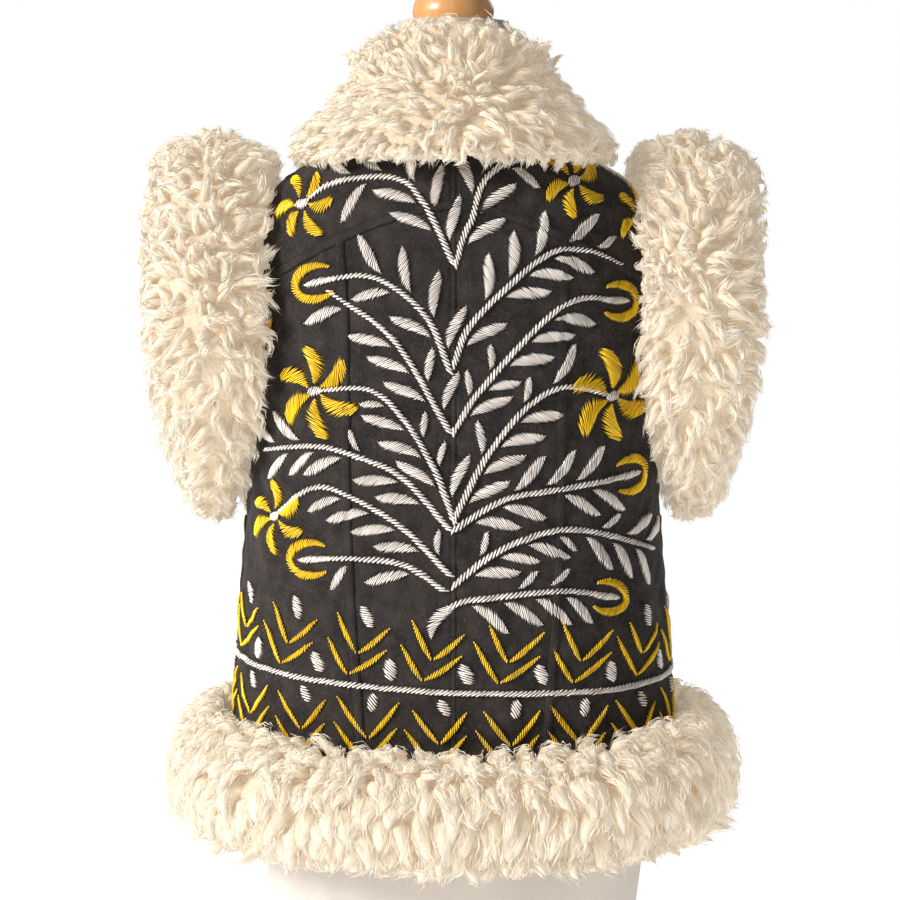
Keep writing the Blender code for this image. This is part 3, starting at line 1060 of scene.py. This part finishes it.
# %% [markdown]
# ### The border and the fronts
#
# A rope of white thread runs round above the hem with a row of yellow chevrons on
# either side of it and white dots between them. The fronts are finished with half a
# tree each, which mirrors the other.

# %% Chevrons, dots and rope
UPPER_ROW, LOWER_ROW = 17, 18  # chevrons in the whole round
# The two arms of a chevron, each as far round the cloth and up. Each chevron is double.
UPPER_ARMS = ((-0.0185, 0.031), (0.032, 0.020))
UPPER_INNER_ARMS = ((-0.015, 0.030), (0.027, 0.021))
LOWER_ARMS = ((-0.024, 0.030), (0.023, 0.027))
LOWER_INNER_ARMS = ((-0.025, 0.030), (0.025, 0.026))
ARM_WIDTH, ARM_PITCH, ARM_SAG = 0.0027, 0.0026, 0.0014
Height = namedtuple("Height", "girth z")
ROPE_HEIGHTS = [
    Height(-0.62, 0.300),
    Height(-0.26, 0.310),
    Height(-0.13, 0.2985),
    Height(0.0, 0.2905),
    Height(0.14, 0.2880),
    Height(0.26, 0.2925),
    Height(0.62, 0.300),
]


def rope_height(girth):
    return np.interp(girth, [row.girth for row in ROPE_HEIGHTS], [row.z for row in ROPE_HEIGHTS])


def chevron(girth, height, arms):
    """Two yellow arms, each up and away from the point where they meet."""
    for across, up in arms:
        size = CHANCE.uniform(0.88, 1.1)
        start = np.array([girth + math.copysign(0.0018, across), height + 0.001])
        end = start + np.array([across, up]) * size
        middle = (start + end) / 2 - np.array([0.0, ARM_SAG])
        slant = 36 if across > 0 else -36
        line = curve_through([start, middle, end], 5)
        yellow.satin(line, ARM_WIDTH, ARM, slant, 0.0014, ARM_PITCH)


def dot(girth, height, size, tall=1.0):
    """A white dot, or an oval where tall is more than 1."""
    angle = CHANCE.uniform(60, 110)
    line = bent((0, 0), angle, size * 2 * tall, 0)
    line = line - line.mean(axis=0) + (girth, height)
    white.satin(line, size, (0.55, 0.92, 1, 0.92, 0.55), 64, 0.0016)


ring = 2 * float(cloth_map.half(0.29))  # the whole round at the border
for index in range(UPPER_ROW):
    girth = (index - 8) * ring / UPPER_ROW - 0.026
    base = float(rope_height(girth))
    chevron(girth, base + 0.009, UPPER_ARMS)
    chevron(girth + 0.008, base + 0.027, UPPER_INNER_ARMS)
    dot(girth + 0.037, float(rope_height(girth + 0.037)) + 0.016, 0.0072)
    above = np.array([[girth + 0.0165, base + 0.0585]])
    if sewn.clear(above, np.array([0.007])):
        dot(*above[0], 0.0056, 1.5)
for index in range(LOWER_ROW):
    girth = (index - 9) * ring / LOWER_ROW - 0.012
    base = float(rope_height(girth))
    chevron(girth, base - 0.044, LOWER_ARMS)
    chevron(girth - 0.003, base - 0.064, LOWER_INNER_ARMS)
    dot(girth + 0.004, base - 0.0135, 0.0060)
span = np.linspace(-ring / 2 + 0.004, ring / 2 - 0.004, 160)
white.satin(np.column_stack([span, rope_height(span)]), 0.0028, (1, 1), 30, 0.0018, ROPE)

# %% The fronts
FRONT_STEMS = [
    Stem("flower", 0.022, ((0.120, 0.360), (0.115, 0.450), (0.100, 0.550), (0.072, 0.655))),
    Stem("bud", 0.021, ((0.118, 0.420), (0.155, 0.470), (0.185, 0.500))),
    Stem("flower", 0.019, ((0.117, 0.400), (0.075, 0.470), (0.036, 0.520))),
    Stem("bud", 0.021, ((0.106, 0.530), (0.070, 0.575), (0.034, 0.600))),
    Stem("tip", 0, ((0.108, 0.510), (0.135, 0.560), (0.150, 0.615))),
    Stem("tip", 0, ((0.119, 0.372), (0.080, 0.400), (0.035, 0.415))),
    Stem("tip", 0, ((0.255, 0.355), (0.240, 0.390), (0.250, 0.440))),
]
FRONT_TURN = 20


def on_front(places, side):
    """Places given as (from the centre front, height), on the side -1 or 1."""
    return [(side * (float(cloth_map.half(z)) - inwards), z) for inwards, z in places]


for side in (-1, 1):
    halves = [branch(plan, on_front(plan.places, side), FRONT_TURN) for plan in FRONT_STEMS]
    leaf_count += sum(leaves_along(line) for line in halves)
print("leaves in all:", leaf_count)

embroidery = []
for name, work, material in (
    ("embroidery_white", white, WHITE_THREAD),
    ("embroidery_yellow", yellow, YELLOW_THREAD),
):
    mesh = work.mesh(name)
    embroidery.append(shown(name, mesh, material, "napped_cloth"))
    threads = len(mesh.vertices) // len(THREAD.points)
    print(name, threads, "threads", len(mesh.polygons), "triangles")

# %% Gather each cloth piece's seams and embroidery
for name, (panel, flat, area) in panels.items():
    extras = [piece for piece, owner in seams.items() if owner == name]
    if name == "centre_back_left":
        extras += embroidery

# %% [markdown]
# ## Fleece
#
# Sheepskin with its wool left long is a thick pile of curled locks. A lock is a bundle
# of fibres that leave the skin together, lie down along the flow of the pile and draw
# to a hooked tip. So a guide line is grown for each lock first, and the strands of that
# lock then follow it, apart at its root and together at its tip, over a lumpy body.


# %% One lock
def lock_form():
    """A cone with five sides, cut into three lengths."""
    bm = bmesh.new()
    bmesh.ops.create_cone(bm, cap_ends=True, segments=5, radius1=1, radius2=0, depth=1)
    bmesh.ops.translate(bm, verts=bm.verts[:], vec=(0, 0, 0.5))
    for height in (0.36, 0.74):
        everything = bm.verts[:] + bm.edges[:] + bm.faces[:]
        bmesh.ops.bisect_plane(bm, geom=everything, plane_co=(0, 0, height), plane_no=(0, 0, 1))
    return Form(bm)


LOCK = lock_form()
LOCK_SHAPE = ((0, 0.8), (0.36, 1.0), (0.74, 0.60), (1, 0.0))
print("a lock has", len(LOCK.faces), "triangles")

# %% Guide lines
REACH = 1.3  # how far a guide goes, past its lock's tip at 1, for the longest strands
STATIONS = np.linspace(0, REACH, 9)
MIDWAY, PAST_TIP = 4, 7  # the stations that are tested against a trim's surface
DEEPEST = 0.02  # the farthest that a guide is sunk into the skin


def unit(vectors):
    """The vectors, each one long."""
    return vectors / np.maximum(np.linalg.norm(vectors, axis=-1, keepdims=True), 1e-9)


Guides = namedtuple("Guides", "roots out flow across sway hook lengths rise")


def guide_lines(guides, press):
    """Lines that leave the skin, bend over into the flow and hook at the tip."""
    line = [guides.roots]
    for start, end in zip(STATIONS, STATIONS[1:]):
        t = (start + end) / 2
        away = guides.rise * max(1.0 - 1.1 * t, 0.0) - press * t
        heading = guides.out * away[:, None] + guides.flow * (0.3 + 0.9 * t)
        heading = heading + guides.sway * math.sin(4.2 * t) + guides.hook * t**3
        step = (guides.lengths * (end - start))[:, None]
        line.append(line[-1] + unit(heading) * step)
    return np.stack(line, axis=1)


def stand_out(tree, points):
    """How far points stand out of a closed surface, negative inside it."""
    found = [tree.find_nearest(Vector(point)) for point in points]
    return np.array([(Vector(p) - hit[0]).dot(hit[1]) for p, hit in zip(points, found)])


def settled(guides, tree, top):
    """Guide lines pressed and sunk until the pile ends at its trim's own surface."""
    press = np.zeros(len(top))
    for _ in range(3):
        line = guide_lines(guides, press)
        over = stand_out(tree, line[:, PAST_TIP]) - top
        press = np.clip(press + over / guides.lengths * 2.2, -0.3, 1.6)
    line = guide_lines(guides, press)
    highest = np.maximum(stand_out(tree, line[:, PAST_TIP]), stand_out(tree, line[:, MIDWAY]))
    sink = np.clip(highest - top, -0.004, DEEPEST)
    return line - (guides.out * sink[:, None])[:, None]


def along_lines(line, t):
    """Points on the lines, one for each share t given for every line."""
    place = np.clip(t / REACH * (len(STATIONS) - 1), 0, len(STATIONS) - 1.001)
    step = place.astype(int)
    part = (place - step)[..., None]
    row = np.arange(len(line))[:, None]
    return line[row, step] * (1 - part) + line[row, step + 1] * part


# %% Locks
def axes_across(line, across):
    """Two directions across each guide line, at all its stations."""
    heading = unit(np.gradient(line, axis=1))
    up = unit(np.cross(heading, across[:, None]))
    return unit(np.cross(up, heading)), up


def locks_along(line, across, radii):
    """The soft core of every lock."""
    t = np.broadcast_to(LOCK.along, (len(line), len(LOCK.along)))
    centre = along_lines(line, t)
    aside, up = (along_lines(axis, t) for axis in axes_across(line, across))
    turned = LOCK.angle + CHANCE.uniform(0, 6.28, (len(line), 1))
    wide = radii[:, None] * np.interp(LOCK.along, *zip(*LOCK_SHAPE))
    wide = wide * (1 + 0.12 * np.cos(2 * turned + LOCK.along * 3.0))
    centre += aside * (np.cos(turned) * wide)[..., None]
    return centre + up * (np.sin(turned) * wide * 0.8)[..., None]


# %% Strands
BUNDLE = ((0, 0.9), (0.3, 1.1), (0.6, 0.9), (0.85, 0.6), (1.0, 0.45), (1.3, 0.6))
CRIMP = 0.0012

def strand_form():
    """A strand with three sides, widest in its middle and pointed at both ends."""
    bm = bmesh.new()
    for side in (1, -1):
        place = Matrix.Diagonal((1, 1, side, 1)) @ Matrix.Translation((0, 0, 0.25))
        bmesh.ops.create_cone(bm, segments=3, radius1=1, radius2=0, depth=0.5, matrix=place)
    bmesh.ops.remove_doubles(bm, verts=bm.verts[:], dist=0.001)
    bmesh.ops.recalc_face_normals(bm, faces=bm.faces[:])
    bmesh.ops.translate(bm, verts=bm.verts[:], vec=(0, 0, 0.5))
    return Form(bm)


STRAND = strand_form()
print("a strand has", len(STRAND.faces), "triangles")
LOOSE, WISPS = 0.16, 0.34  # shares of strands that part from a lock, and that end it


def strands_along(line, across, radii, each, half_width):
    """Strands of every lock: most lie on it, some end it as wisps and some come loose."""
    rows = np.repeat(np.arange(len(line)), each)
    count = len(rows)
    kind = CHANCE.random(count)
    loose, wisp = kind < LOOSE, kind > 1 - WISPS
    start = CHANCE.uniform(0.10, 0.45, count) + wisp * 0.32
    end = CHANCE.uniform(0.70, 1.0, count) + wisp * 0.22
    t = start[:, None] + (end - start)[:, None] * STRAND.along
    line, across = line[rows], across[rows]
    centre = along_lines(line, t)
    aside, up = (along_lines(axis, t) for axis in axes_across(line, across))
    twist = CHANCE.normal(0, 1.1, count)
    angle = CHANCE.uniform(0, 2 * math.pi, count)[:, None] + twist[:, None] * STRAND.along
    parted = 1 + (loose * CHANCE.uniform(0.5, 1.5, count))[:, None] * STRAND.along**2
    held = np.interp(t, *zip(*BUNDLE)) * (radii[rows] * CHANCE.uniform(0.9, 1.15, count))[:, None]
    held = held * parted
    phase = (CHANCE.uniform(0, 6.28, len(radii))[rows] + CHANCE.normal(0, 0.7, count))[:, None]
    wave = CRIMP * np.sin(phase + t * 11.0)
    centre += aside * (np.cos(angle) * held + wave)[..., None]
    centre += up * (np.sin(angle) * held * 0.8)[..., None]
    thick = CHANCE.uniform(0.7, 1.25, count)[:, None] * half_width * (1.2 - 0.4 * STRAND.along)
    centre += aside * (STRAND.points[:, 0] * thick)[..., None]
    centre += up * (STRAND.points[:, 1] * thick * 0.7)[..., None]
    return centre, t, rows


# %% Where locks grow
def pile_skin(node):
    """The CAD trim as points, smooth normals and triangles."""
    bm = welded(node)
    bmesh.ops.triangulate(bm, faces=bm.faces[:])
    mesh = as_mesh(bm, "skin")
    points, faces = arrays(mesh)
    normals = normals_of(mesh)
    bpy.data.meshes.remove(mesh)
    return points, normals, np.array(faces)


def roots(node, spacing, tries=40000):
    """Places on a trim no nearer to each other than spacing, with the normals there."""
    points, normals, faces = pile_skin(node)
    corners = points[faces]
    area = np.linalg.norm(
        np.cross(corners[:, 1] - corners[:, 0], corners[:, 2] - corners[:, 0]), axis=1
    )
    pick = CHANCE.choice(len(faces), tries, p=area / area.sum())
    first, second = CHANCE.random((2, tries))
    over = first + second > 1
    first, second = np.where(over, 1 - first, first), np.where(over, 1 - second, second)
    share = np.stack([1 - first - second, first, second], axis=1)[..., None]
    spots = (corners[pick] * share).sum(axis=1)
    out = unit((normals[faces[pick]] * share).sum(axis=1))
    cells, kept = {}, []
    for index, spot in enumerate(spots):
        home = tuple((spot // spacing).astype(int))
        near = [
            other
            for i in (-1, 0, 1)
            for j in (-1, 0, 1)
            for k in (-1, 0, 1)
            for other in cells.get((home[0] + i, home[1] + j, home[2] + k), ())
        ]
        if all(np.sum((spots[other] - spot) ** 2) > spacing**2 for other in near):
            cells.setdefault(home, []).append(index)
            kept.append(index)
    return spots[kept], out[kept]


def wander(points, scale, seed):
    """A direction that changes slowly from place to place."""
    turns = np.random.default_rng(seed).uniform(0, 6.28, (3, 3))
    lean = np.random.default_rng(seed + 1).normal(0, 1, (3, 3, 3)) / scale
    waves = [np.sin(points @ lean[k].T + turns[k]).sum(axis=1) for k in range(3)]
    return np.stack(waves, axis=1) / 2


# %% [markdown]
# ### Flow of each trim
#
# The collar's wool radiates from the nape, because the strip was turned over there. On
# the armholes it curls outwards from the ring and sinks a little, and on the hem it
# hangs, swept outwards.


# %% Flows
TURN_OVER = 0.81  # the height at which the collar's wool stands up instead of hanging
RING_SIDE, RING_MIDDLE = 0.21, 0.62  # how far to the side an armhole trim is, and its height
HEM_TUCK = 0.235  # below this the hem's wool hangs more steeply


def collar_flow(points):
    """Away from the nape, or the throat, then down below and up and in above."""
    nape = np.array([0.0, -0.13, 0.80])
    throat = np.array([0.0, 0.12, 0.80])
    centre = np.where(points[:, 1:2] < 0.01, nape, throat)
    away = unit((points - centre) * (1.0, 0.35, 1.0))
    low = np.clip((TURN_OVER - points[:, 2]) / 0.05, 0, 1)[:, None]
    near = np.linalg.norm((points - centre) * (1, 0.3, 1), axis=1, keepdims=True)
    flow = away * np.clip(near / 0.045, 0.1, 1) + low * np.array([0, 0, -0.9])
    high = np.clip((points[:, 2] - TURN_OVER) / 0.035, 0, 1)[:, None]
    up_and_in = np.array([0, 0, 1.0]) - unit(points * (1, 1, 0)) * 0.45
    return flow * (1 - 0.9 * high) + high * up_and_in


def armhole_flow(points):
    """Outwards from the ring, up in its upper half and down in its lower."""
    side = np.sign(points[:, 0:1])
    outwards = np.clip((abs(points[:, 0:1]) - RING_SIDE) / 0.02, -1, 1)
    away = outwards * side * np.array([1.0, 0, 0])
    upper = np.clip((points[:, 2:3] - RING_MIDDLE) / 0.1, -1, 1)
    return away * 0.8 + np.array([0, 0, 0.75]) * upper + np.array([0, 0, -0.40])


def hem_flow(points):
    """Down and outwards, and more steeply near the lower rim."""
    outwards = unit(points * (1, 1, 0))
    low = np.clip((HEM_TUCK - points[:, 2:3]) / 0.05, 0, 1)
    return outwards * (0.45 - 0.25 * low) + np.array([0, 0, -1.0]) * (0.5 + 0.7 * low)


# How each pile is made, in metres where it's a size: from one lock to the next, how deep
# its root is, its length and radius, how steeply it leaves the skin, how much it curls
# and strays, its strands and their half width, and how far the pile stands proud.
FIELDS = "node flow spacing sink length radius rise curl stray strands width proud"
Pile = namedtuple("Pile", FIELDS)
COLLAR = (0.0084, 0.014, 0.030, 0.0045, 0.75, 0.80, 0.28, 11, 0.00050, -0.002)
ARMHOLE = (0.0098, 0.017, 0.036, 0.0052, 0.95, 1.00, 0.34, 11, 0.00052, 0.002)
HEM = (0.0132, 0.020, 0.047, 0.0100, 0.80, 0.38, 0.11, 19, 0.00060, 0.0)
PILES = [
    Pile("fleece_collar", collar_flow, *COLLAR),
    Pile("fleece_armhole_left", armhole_flow, *ARMHOLE),
    Pile("fleece_armhole_right", armhole_flow, *ARMHOLE),
    Pile("fleece_hem", hem_flow, *HEM),
]
PROUD_SHARE, PROUD_TUFT = 0.2, 0.0045  # one lock in five stands farther out, by this much
NAPE_RIM = 0.845  # the height at which the collar's upper rim starts
NAPE_SETTLED = 0.004  # how much lower the wool lies along that rim
BODY_LUMPS = 0.0022
ROOM = 0.03  # a lock with less than this above its root is shorter
form_tree = joined_tree([bpy.data.objects["form_torso_smooth"].data])


# %% Growing a trim
def room_above(spots, out, tree, reach):
    """How far each place is from the tree along its normal, up to reach."""
    gaps = []
    for spot, normal in zip(spots, out):
        start = Vector(spot) + Vector(normal) * 0.0005
        gaps.append(tree.ray_cast(start, Vector(normal), reach)[3])
    return np.array([reach if gap is None else gap for gap in gaps])


def body(plan):
    """The trim's solid, drawn in below its pile and made lumpy."""
    mesh = rounded(welded(plan.node), plan.node + "_body", 1)
    points, _ = arrays(mesh)
    lumps = wander(points, 0.012, 5)[:, :1] * BODY_LUMPS
    points = points - normals_of(mesh) * (plan.sink * 0.6 - plan.proud * 1.5 + lumps)
    mesh.vertices.foreach_set("co", points.reshape(-1))
    carry(mesh, "grain", points * 0.8)
    # painted shade: the body takes the root colour and the lowest tone, so it reads as shade
    # where it shows between locks
    for name, value in (("along", 0.1), ("tone", 0.0)):
        carry(mesh, name, np.full(len(points), value))
    return mesh


def where_fine(plan, out, pull):
    """Where a trim's locks are short, thin and close: its partings and its rims."""
    parting = np.clip(1.2 - pull / 0.7, 0, 1)
    rim = np.zeros(len(out))
    if plan.node == "fleece_hem":
        rim = np.clip((out[:, 2] - 0.35) / 0.4, 0, 1)
    elif plan.node == "fleece_collar":
        rim = np.clip((-out[:, 2] - 0.15) / 0.4, 0, 1) * 0.7
    return parting, np.maximum(parting, rim)


def planted(plan):
    """Roots with the flow at each, twice as close where the pile is fine."""
    places = []
    for closer in (False, True):
        spots, out = roots(plan.node, plan.spacing)
        gap = np.minimum(
            room_above(spots, out, cloth_tree, ROOM), room_above(spots, out, form_tree, ROOM)
        )
        flow = plan.flow(spots) + wander(spots, 0.028, 11) * plan.stray
        flow = flow - out * np.sum(flow * out, axis=1, keepdims=True)
        parting, fine = where_fine(plan, out, np.linalg.norm(flow, axis=1))
        keep = (gap > 0.002) & ((fine > 0.4) | (not closer))
        places.append([part[keep] for part in (spots, out, gap, unit(flow), parting, fine)])
    return [np.concatenate(parts) for parts in zip(*places)]


def laid(plan):
    """The guide lines of a trim's locks, the directions across them and the locks' radii."""
    spots, out, gap, flow, parting, fine = planted(plan)
    count = len(spots)
    low = np.clip((-out[:, 2] - 0.2) / 0.6, 0, 1)
    short = np.clip(gap / ROOM, 0.35, 1) * (1 - 0.42 * fine) * (1 - 0.3 * low)
    across = unit(np.cross(out, flow))
    turn = (CHANCE.normal(0, plan.stray, count) * (1 + 4 * fine))[:, None]
    flow = unit(flow * np.cos(turn) + across * np.sin(turn))
    across = unit(np.cross(out, flow))
    sway = across * CHANCE.normal(0, 0.5, count)[:, None] * plan.curl
    hook = across * (CHANCE.choice([-1, 1], count) * CHANCE.uniform(0.3, 2.2, count))[:, None]
    hook = (hook + out * CHANCE.uniform(-0.6, 0.7, count)[:, None]) * plan.curl
    lengths = plan.length * CHANCE.uniform(0.75, 1.2, count) * short
    rise = plan.rise * CHANCE.uniform(0.75, 1.3, count) * (1 + parting)
    sunk = plan.sink * (1 - 0.45 * fine)
    guides = Guides(spots - out * sunk[:, None], out, flow, across, sway, hook, lengths, rise)
    tufted = PROUD_TUFT * (CHANCE.random(count) < PROUD_SHARE)
    tufted -= NAPE_SETTLED * np.clip((spots[:, 2] - NAPE_RIM) / 0.02, 0, 1)
    top = CHANCE.uniform(-0.004, 0.004, count) + plan.proud + tufted
    line = settled(guides, joined_tree([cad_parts[plan.node].data]), top)
    return line, across, plan.radius * CHANCE.uniform(0.8, 1.2, count) * np.sqrt(short)


def grow(plan):
    """The locks of one trim, then their strands in two meshes, so none grows too large."""
    line, across, radii = laid(plan)
    count = len(line)
    tones = CHANCE.random(count)
    section = np.stack([np.cos(LOCK.angle), np.sin(LOCK.angle), LOCK.along * 0.7], axis=1)
    grain = section[None] * radii[:, None, None] + CHANCE.uniform(0, 5, (count, 1, 3))
    values = {"along": LOCK.along[None] * 0.85, "tone": tones[:, None] * 0.8, "grain": grain}
    yield joined(plan.node + "_locks", LOCK, locks_along(line, across, radii * 0.8), values)
    for number, part in enumerate((slice(0, count // 2), slice(count // 2, count))):
        points, t, rows = strands_along(
            line[part], across[part], radii[part], plan.strands, plan.width
        )
        tone = CHANCE.random(len(rows)) * 0.9 + tones[part][rows] * 0.3 - 0.1
        grain = np.zeros((*t.shape, 3)) + CHANCE.uniform(0, 5, (len(rows), 1, 3))
        values = {"along": np.minimum(t, 1), "tone": tone[:, None], "grain": grain}
        yield joined(f"{plan.node}_strands_{number + 1}", STRAND, points, values)


for plan in PILES:
    shown(plan.node + "_body", body(plan), FLEECE, "fleece", plan.node)
    for mesh in grow(plan):
        shown(mesh.name, mesh, FLEECE, "fleece")
        print(mesh.name, len(mesh.polygons), "triangles")

# %% [markdown]
# ## The light and the floor
#
# One large warm lamp stands on the left, a weak one fills the right side, and a third
# lights the back. The floor and the sky are pure white to the camera.

# %% Studio
SKY_LIGHT, SKY_SEEN = 0.22, 1.0  # how strong the sky is as light, and to the camera
WHITE = (1.0, 1.0, 1.0, 1.0)


def light(name, place, size, power, colour=(1, 1, 1)):
    """A square lamp that faces the vest."""
    lamp = bpy.data.lights.new(name, "AREA")
    lamp.size = size
    lamp.energy = power
    lamp.color = colour
    holder = linked(name, lamp)
    holder.location = place
    holder.rotation_euler = (AIM - Vector(place)).to_track_quat("-Z", "Y").to_euler()


light("key", (-2.75, -1.7, 1.85), 1.2, 152, (1.0, 0.98, 0.95))
light("fill", (2.4, -2.2, 1.0), 2.4, 3)
light("back", (0.6, 2.4, 2.2), 2.0, 24)

world = bpy.data.worlds.new("studio")
SCENE.world = world
world.use_nodes = True
air = world.node_tree
path = air.nodes.new("ShaderNodeLightPath")
both = air.nodes.new("ShaderNodeMixShader")
air.links.new(path.outputs["Is Camera Ray"], both.inputs[0])
for socket, sky, strength in (
    (1, air.nodes["Background"], SKY_LIGHT),
    (2, air.nodes.new("ShaderNodeBackground"), SKY_SEEN),
):
    sky.inputs["Strength"].default_value = strength
    sky.inputs["Color"].default_value = WHITE
    air.links.new(sky.outputs[0], both.inputs[socket])
air.links.new(both.outputs[0], air.nodes["World Output"].inputs["Surface"])
SCENE.view_settings.view_transform = "Standard"

bm = bmesh.new()
bmesh.ops.create_grid(bm, x_segments=1, y_segments=1, size=1.6)
floor = linked("floor", as_mesh(bm, "floor"))
floor_paint = Paint("floor", 0.9, Emission_Color=WHITE, Emission_Strength=0.82)
floor_paint.set("Base Color", (0.86, 0.86, 0.86, 1.0))
floor.data.materials.append(floor_paint.material)
